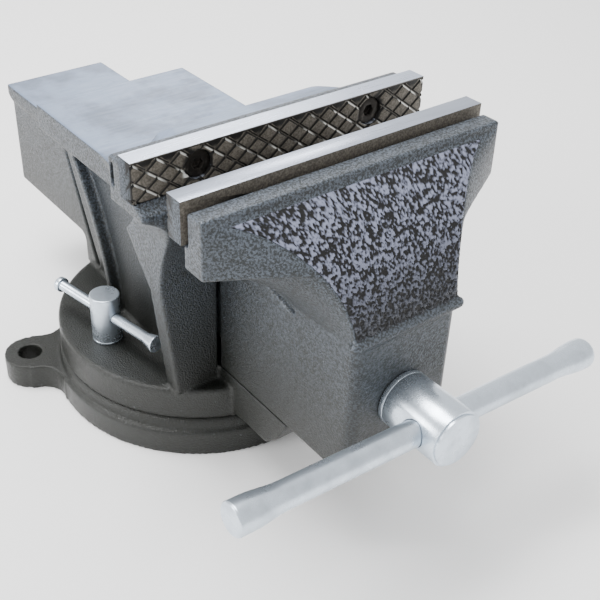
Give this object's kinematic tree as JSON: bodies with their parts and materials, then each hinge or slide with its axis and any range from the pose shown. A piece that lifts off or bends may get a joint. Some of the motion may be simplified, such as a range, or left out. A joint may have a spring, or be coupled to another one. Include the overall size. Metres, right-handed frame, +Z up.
{
  "type": "bench vise",
  "caption": "Bench vise on a locking swivel base: a fixed jaw with an anvil and a tail box, a sliding jaw driven by a spindle, and toothed jaw plates.",
  "frame": {"origin": "centre of the swivel base's underside, on the swivel axis", "axes": "+Z up, +X along the jaws to the right as seen from the handle, -Y towards the handle"},
  "size_m": [0.2586, 0.4522, 0.228],
  "materials": {
    "hammered_paint": "hammered gloss enamel",
    "jaw_steel": "ground",
    "zinc_plate": "bright zinc",
    "dark_steel": "black oxide",
    "bare_iron": "as cast"
  },
  "bodies": {
    "base": {"swivel_base": "hammered_paint"},
    "body": {"pivot_bolt": "zinc_plate", "pivot_washer": "zinc_plate", "fixed_jaw_body": "hammered_paint", "fixed_jaw_plate": "jaw_steel", "fixed_jaw_screws": "dark_steel", "spindle_nut": "bare_iron", "nut_bolt": "dark_steel", "nut_washer": "zinc_plate", "lock_bolt_left": "dark_steel", "lock_bolt_right": "dark_steel", "lock_washer_left": "zinc_plate", "lock_washer_right": "zinc_plate"},
    "left_lock": {"lock_nut_left": "zinc_plate"},
    "right_lock": {"lock_nut_right": "zinc_plate"},
    "left_tommy": {"tommy_bar_left": "zinc_plate"},
    "right_tommy": {"tommy_bar_right": "zinc_plate"},
    "slide": {"moving_jaw": "hammered_paint", "moving_jaw_plate": "jaw_steel", "moving_jaw_screws": "dark_steel", "spring_washer": "zinc_plate", "spindle_spring": "dark_steel"},
    "screw": {"spindle": "zinc_plate", "thrust_washer": "zinc_plate", "spindle_collar": "zinc_plate", "collar_pin": "dark_steel"},
    "handle": {"handle_bar": "zinc_plate"}
  },
  "joints": [
    {"name": "base_swivel", "type": "hinge", "parent": "base", "child": "body", "pos_m": [0, 0, 0.027], "axis": [0, 0, 1], "continuous": true},
    {"name": "jaw_slide", "type": "slide", "parent": "body", "child": "slide", "axis": [0, -1, 0], "range_m": [-0.0348, 0.165]},
    {"name": "spindle_turn", "type": "hinge", "parent": "slide", "child": "screw", "pos_m": [0, -0.2262, 0.1033], "axis": [0, -1, 0], "range_deg": [-2100, 9950]},
    {"name": "handle_slide", "type": "slide", "parent": "screw", "child": "handle", "axis": [0.9985, 0, -0.0541], "range_m": [-0.0795, 0.0875]},
    {"name": "lock_left_turn", "type": "hinge", "parent": "body", "child": "left_lock", "pos_m": [-0.074, 0, 0.07], "axis": [0, 0, 1], "range_deg": [-20, 4]},
    {"name": "lock_right_turn", "type": "hinge", "parent": "body", "child": "right_lock", "pos_m": [0.074, 0, 0.07], "axis": [0, 0, 1], "range_deg": [-4, 20]},
    {"name": "tommy_left_slide", "type": "slide", "parent": "left_lock", "child": "left_tommy", "axis": [-0.1908, 0.9816, 0], "range_m": [-0.0115, 0.029]},
    {"name": "tommy_right_slide", "type": "slide", "parent": "right_lock", "child": "right_tommy", "axis": [0.1908, 0.9816, 0], "range_m": [-0.0115, 0.029]}
  ],
  "couplings": [
    {"joint": "spindle_turn", "follows": "jaw_slide", "rad_per_m": 1047.2}
  ]
}
